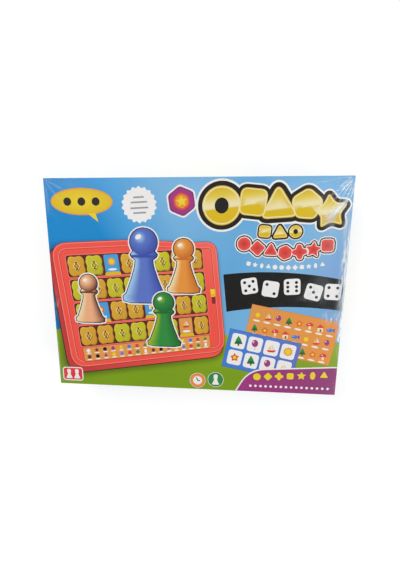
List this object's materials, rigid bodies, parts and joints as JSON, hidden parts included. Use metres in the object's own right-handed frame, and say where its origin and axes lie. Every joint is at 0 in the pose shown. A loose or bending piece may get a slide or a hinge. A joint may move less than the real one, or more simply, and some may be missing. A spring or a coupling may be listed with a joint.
{
  "type": "boxed guessing game",
  "caption": "Boxed two-player guessing game in shrink film: a lift-off lid over two flip-door boards, picture sheets and rules.",
  "frame": {"origin": "middle of the underside", "axes": "+X to the right of the printed front, +Y to the front's top edge, +Z out of the printed front, which lies up"},
  "size_m": [0.37, 0.272, 0.05],
  "materials": {
    "printed_board": "greyboard wrapped in gloss-coated printed paper",
    "plain_board": "greyboard wrapped in plain white paper",
    "shrink_film": "clear glossy shrink film with fine creases",
    "red_plastic": "moulded, semi-gloss",
    "yellow_plastic": "moulded, semi-gloss",
    "picture_card": "printed card",
    "leaflet_paper": "uncoated paper, folded"
  },
  "bodies": {
    "tray": {"box_tray": "plain_board", "film_under_tray": "shrink_film"},
    "lid": {"box_lid": "printed_board", "film_over_lid": "shrink_film"},
    "leaflet": {"rules_leaflet": "leaflet_paper"},
    "spare_sheet_a": {"spare_sheet_a": "picture_card"},
    "spare_sheet_b": {"spare_sheet_b": "picture_card"},
    "board_a": {"board_a_front_shell": "red_plastic", "board_a_back_cover": "red_plastic"},
    "board_a_picture_sheet": {"board_a_picture_sheet": "picture_card"},
    "board_a_slider": {"board_a_slider": "yellow_plastic"},
    "board_a_door_r1c1": {"board_a_door_r1c1": "yellow_plastic"},
    "board_a_door_r1c2": {"board_a_door_r1c2": "yellow_plastic"},
    "board_a_door_r1c3": {"board_a_door_r1c3": "yellow_plastic"},
    "board_a_door_r1c4": {"board_a_door_r1c4": "yellow_plastic"},
    "board_a_door_r1c5": {"board_a_door_r1c5": "yellow_plastic"},
    "board_a_door_r1c6": {"board_a_door_r1c6": "yellow_plastic"},
    "board_a_door_r1c7": {"board_a_door_r1c7": "yellow_plastic"},
    "board_a_door_r1c8": {"board_a_door_r1c8": "yellow_plastic"},
    "board_a_door_r2c1": {"board_a_door_r2c1": "yellow_plastic"},
    "board_a_door_r2c2": {"board_a_door_r2c2": "yellow_plastic"},
    "board_a_door_r2c3": {"board_a_door_r2c3": "yellow_plastic"},
    "board_a_door_r2c4": {"board_a_door_r2c4": "yellow_plastic"},
    "board_a_door_r2c5": {"board_a_door_r2c5": "yellow_plastic"},
    "board_a_door_r2c6": {"board_a_door_r2c6": "yellow_plastic"},
    "board_a_door_r2c7": {"board_a_door_r2c7": "yellow_plastic"},
    "board_a_door_r2c8": {"board_a_door_r2c8": "yellow_plastic"},
    "board_a_door_r3c1": {"board_a_door_r3c1": "yellow_plastic"},
    "board_a_door_r3c2": {"board_a_door_r3c2": "yellow_plastic"},
    "board_a_door_r3c3": {"board_a_door_r3c3": "yellow_plastic"},
    "board_a_door_r3c4": {"board_a_door_r3c4": "yellow_plastic"},
    "board_a_door_r3c5": {"board_a_door_r3c5": "yellow_plastic"},
    "board_a_door_r3c6": {"board_a_door_r3c6": "yellow_plastic"},
    "board_a_door_r3c7": {"board_a_door_r3c7": "yellow_plastic"},
    "board_a_door_r3c8": {"board_a_door_r3c8": "yellow_plastic"},
    "board_a_door_r4c1": {"board_a_door_r4c1": "yellow_plastic"},
    "board_a_door_r4c2": {"board_a_door_r4c2": "yellow_plastic"},
    "board_a_door_r4c3": {"board_a_door_r4c3": "yellow_plastic"},
    "board_a_door_r4c4": {"board_a_door_r4c4": "yellow_plastic"},
    "board_a_door_r4c5": {"board_a_door_r4c5": "yellow_plastic"},
    "board_a_door_r4c6": {"board_a_door_r4c6": "yellow_plastic"},
    "board_a_door_r4c7": {"board_a_door_r4c7": "yellow_plastic"},
    "board_a_door_r4c8": {"board_a_door_r4c8": "yellow_plastic"},
    "board_b": {"board_b_front_shell": "red_plastic", "board_b_back_cover": "red_plastic"},
    "board_b_picture_sheet": {"board_b_picture_sheet": "picture_card"},
    "board_b_slider": {"board_b_slider": "yellow_plastic"},
    "board_b_doors_r1": {"board_b_doors_r1": "yellow_plastic"},
    "board_b_doors_r2": {"board_b_doors_r2": "yellow_plastic"},
    "board_b_doors_r3": {"board_b_doors_r3": "yellow_plastic"},
    "board_b_doors_r4": {"board_b_doors_r4": "yellow_plastic"}
  },
  "joints": [
    {"name": "lid_lift", "type": "slide", "parent": "tray", "child": "lid", "axis": [0, 0, 1], "range_m": [0, 0.26]},
    {"name": "leaflet_lift", "type": "slide", "parent": "tray", "child": "leaflet", "axis": [0, 0, 1], "range_m": [0, 0.039]},
    {"name": "spare_sheet_a_lift", "type": "slide", "parent": "tray", "child": "spare_sheet_a", "axis": [0, 0, 1], "range_m": [0, 0.065]},
    {"name": "spare_sheet_b_lift", "type": "slide", "parent": "tray", "child": "spare_sheet_b", "axis": [0, 0, 1], "range_m": [0, 0.065]},
    {"name": "board_a_lift", "type": "slide", "parent": "tray", "child": "board_a", "axis": [0, 0, 1], "range_m": [0, 0.117]},
    {"name": "board_a_picture_sheet_slide", "type": "slide", "parent": "board_a", "child": "board_a_picture_sheet", "axis": [0, 1, 0], "range_m": [0, 0.025]},
    {"name": "board_a_slider_travel", "type": "slide", "parent": "board_a", "child": "board_a_slider", "axis": [-1, 0, 0], "range_m": [0, 0.02]},
    {"name": "board_a_door_r1c1_hinge", "type": "hinge", "parent": "board_a", "child": "board_a_door_r1c1", "pos_m": [-0.15675, -0.1029, 0.0167], "axis": [0, -1, 0], "range_deg": [0, 105]},
    {"name": "board_a_door_r1c2_hinge", "type": "hinge", "parent": "board_a", "child": "board_a_door_r1c2", "pos_m": [-0.15675, -0.0789, 0.0167], "axis": [0, -1, 0], "range_deg": [0, 105]},
    {"name": "board_a_door_r1c3_hinge", "type": "hinge", "parent": "board_a", "child": "board_a_door_r1c3", "pos_m": [-0.15675, -0.0549, 0.0167], "axis": [0, -1, 0], "range_deg": [0, 105]},
    {"name": "board_a_door_r1c4_hinge", "type": "hinge", "parent": "board_a", "child": "board_a_door_r1c4", "pos_m": [-0.15675, -0.0309, 0.0167], "axis": [0, -1, 0], "range_deg": [0, 105]},
    {"name": "board_a_door_r1c5_hinge", "type": "hinge", "parent": "board_a", "child": "board_a_door_r1c5", "pos_m": [-0.15675, -0.0069, 0.0167], "axis": [0, -1, 0], "range_deg": [0, 105]},
    {"name": "board_a_door_r1c6_hinge", "type": "hinge", "parent": "board_a", "child": "board_a_door_r1c6", "pos_m": [-0.15675, 0.0171, 0.0167], "axis": [0, -1, 0], "range_deg": [0, 105]},
    {"name": "board_a_door_r1c7_hinge", "type": "hinge", "parent": "board_a", "child": "board_a_door_r1c7", "pos_m": [-0.15675, 0.0411, 0.0167], "axis": [0, -1, 0], "range_deg": [0, 105]},
    {"name": "board_a_door_r1c8_hinge", "type": "hinge", "parent": "board_a", "child": "board_a_door_r1c8", "pos_m": [-0.15675, 0.0651, 0.0167], "axis": [0, -1, 0], "range_deg": [0, 105]},
    {"name": "board_a_door_r2c1_hinge", "type": "hinge", "parent": "board_a", "child": "board_a_door_r2c1", "pos_m": [-0.12375, -0.1029, 0.0167], "axis": [0, -1, 0], "range_deg": [0, 105]},
    {"name": "board_a_door_r2c2_hinge", "type": "hinge", "parent": "board_a", "child": "board_a_door_r2c2", "pos_m": [-0.12375, -0.0789, 0.0167], "axis": [0, -1, 0], "range_deg": [0, 105]},
    {"name": "board_a_door_r2c3_hinge", "type": "hinge", "parent": "board_a", "child": "board_a_door_r2c3", "pos_m": [-0.12375, -0.0549, 0.0167], "axis": [0, -1, 0], "range_deg": [0, 105]},
    {"name": "board_a_door_r2c4_hinge", "type": "hinge", "parent": "board_a", "child": "board_a_door_r2c4", "pos_m": [-0.12375, -0.0309, 0.0167], "axis": [0, -1, 0], "range_deg": [0, 105]},
    {"name": "board_a_door_r2c5_hinge", "type": "hinge", "parent": "board_a", "child": "board_a_door_r2c5", "pos_m": [-0.12375, -0.0069, 0.0167], "axis": [0, -1, 0], "range_deg": [0, 105]},
    {"name": "board_a_door_r2c6_hinge", "type": "hinge", "parent": "board_a", "child": "board_a_door_r2c6", "pos_m": [-0.12375, 0.0171, 0.0167], "axis": [0, -1, 0], "range_deg": [0, 105]},
    {"name": "board_a_door_r2c7_hinge", "type": "hinge", "parent": "board_a", "child": "board_a_door_r2c7", "pos_m": [-0.12375, 0.0411, 0.0167], "axis": [0, -1, 0], "range_deg": [0, 105]},
    {"name": "board_a_door_r2c8_hinge", "type": "hinge", "parent": "board_a", "child": "board_a_door_r2c8", "pos_m": [-0.12375, 0.0651, 0.0167], "axis": [0, -1, 0], "range_deg": [0, 105]},
    {"name": "board_a_door_r3c1_hinge", "type": "hinge", "parent": "board_a", "child": "board_a_door_r3c1", "pos_m": [-0.09075, -0.1029, 0.0167], "axis": [0, -1, 0], "range_deg": [0, 105]},
    {"name": "board_a_door_r3c2_hinge", "type": "hinge", "parent": "board_a", "child": "board_a_door_r3c2", "pos_m": [-0.09075, -0.0789, 0.0167], "axis": [0, -1, 0], "range_deg": [0, 105]},
    {"name": "board_a_door_r3c3_hinge", "type": "hinge", "parent": "board_a", "child": "board_a_door_r3c3", "pos_m": [-0.09075, -0.0549, 0.0167], "axis": [0, -1, 0], "range_deg": [0, 105]},
    {"name": "board_a_door_r3c4_hinge", "type": "hinge", "parent": "board_a", "child": "board_a_door_r3c4", "pos_m": [-0.09075, -0.0309, 0.0167], "axis": [0, -1, 0], "range_deg": [0, 105]},
    {"name": "board_a_door_r3c5_hinge", "type": "hinge", "parent": "board_a", "child": "board_a_door_r3c5", "pos_m": [-0.09075, -0.0069, 0.0167], "axis": [0, -1, 0], "range_deg": [0, 105]},
    {"name": "board_a_door_r3c6_hinge", "type": "hinge", "parent": "board_a", "child": "board_a_door_r3c6", "pos_m": [-0.09075, 0.0171, 0.0167], "axis": [0, -1, 0], "range_deg": [0, 105]},
    {"name": "board_a_door_r3c7_hinge", "type": "hinge", "parent": "board_a", "child": "board_a_door_r3c7", "pos_m": [-0.09075, 0.0411, 0.0167], "axis": [0, -1, 0], "range_deg": [0, 105]},
    {"name": "board_a_door_r3c8_hinge", "type": "hinge", "parent": "board_a", "child": "board_a_door_r3c8", "pos_m": [-0.09075, 0.0651, 0.0167], "axis": [0, -1, 0], "range_deg": [0, 105]},
    {"name": "board_a_door_r4c1_hinge", "type": "hinge", "parent": "board_a", "child": "board_a_door_r4c1", "pos_m": [-0.05775, -0.1029, 0.0167], "axis": [0, -1, 0], "range_deg": [0, 105]},
    {"name": "board_a_door_r4c2_hinge", "type": "hinge", "parent": "board_a", "child": "board_a_door_r4c2", "pos_m": [-0.05775, -0.0789, 0.0167], "axis": [0, -1, 0], "range_deg": [0, 105]},
    {"name": "board_a_door_r4c3_hinge", "type": "hinge", "parent": "board_a", "child": "board_a_door_r4c3", "pos_m": [-0.05775, -0.0549, 0.0167], "axis": [0, -1, 0], "range_deg": [0, 105]},
    {"name": "board_a_door_r4c4_hinge", "type": "hinge", "parent": "board_a", "child": "board_a_door_r4c4", "pos_m": [-0.05775, -0.0309, 0.0167], "axis": [0, -1, 0], "range_deg": [0, 105]},
    {"name": "board_a_door_r4c5_hinge", "type": "hinge", "parent": "board_a", "child": "board_a_door_r4c5", "pos_m": [-0.05775, -0.0069, 0.0167], "axis": [0, -1, 0], "range_deg": [0, 105]},
    {"name": "board_a_door_r4c6_hinge", "type": "hinge", "parent": "board_a", "child": "board_a_door_r4c6", "pos_m": [-0.05775, 0.0171, 0.0167], "axis": [0, -1, 0], "range_deg": [0, 105]},
    {"name": "board_a_door_r4c7_hinge", "type": "hinge", "parent": "board_a", "child": "board_a_door_r4c7", "pos_m": [-0.05775, 0.0411, 0.0167], "axis": [0, -1, 0], "range_deg": [0, 105]},
    {"name": "board_a_door_r4c8_hinge", "type": "hinge", "parent": "board_a", "child": "board_a_door_r4c8", "pos_m": [-0.05775, 0.0651, 0.0167], "axis": [0, -1, 0], "range_deg": [0, 105]},
    {"name": "board_b_lift", "type": "slide", "parent": "tray", "child": "board_b", "axis": [0, 0, 1], "range_m": [0, 0.117]},
    {"name": "board_b_picture_sheet_slide", "type": "slide", "parent": "board_b", "child": "board_b_picture_sheet", "axis": [0, 1, 0], "range_m": [0, 0.025]},
    {"name": "board_b_slider_travel", "type": "slide", "parent": "board_b", "child": "board_b_slider", "axis": [-1, 0, 0], "range_m": [0, 0.02]},
    {"name": "board_b_doors_r1_hinge", "type": "hinge", "parent": "board_b", "child": "board_b_doors_r1", "pos_m": [0.02355, -0.0189, 0.0167], "axis": [0, -1, 0], "range_deg": [0, 105]},
    {"name": "board_b_doors_r2_hinge", "type": "hinge", "parent": "board_b", "child": "board_b_doors_r2", "pos_m": [0.05655, -0.0189, 0.0167], "axis": [0, -1, 0], "range_deg": [0, 105]},
    {"name": "board_b_doors_r3_hinge", "type": "hinge", "parent": "board_b", "child": "board_b_doors_r3", "pos_m": [0.08955, -0.0189, 0.0167], "axis": [0, -1, 0], "range_deg": [0, 105]},
    {"name": "board_b_doors_r4_hinge", "type": "hinge", "parent": "board_b", "child": "board_b_doors_r4", "pos_m": [0.12255, -0.0189, 0.0167], "axis": [0, -1, 0], "range_deg": [0, 105]}
  ],
  "couplings": [
    {"joint": "leaflet_lift", "follows": "lid_lift", "ratio": 0.15},
    {"joint": "spare_sheet_a_lift", "follows": "lid_lift", "ratio": 0.25},
    {"joint": "spare_sheet_b_lift", "follows": "lid_lift", "ratio": 0.25},
    {"joint": "board_a_lift", "follows": "lid_lift", "ratio": 0.45},
    {"joint": "board_b_lift", "follows": "lid_lift", "ratio": 0.45}
  ]
}
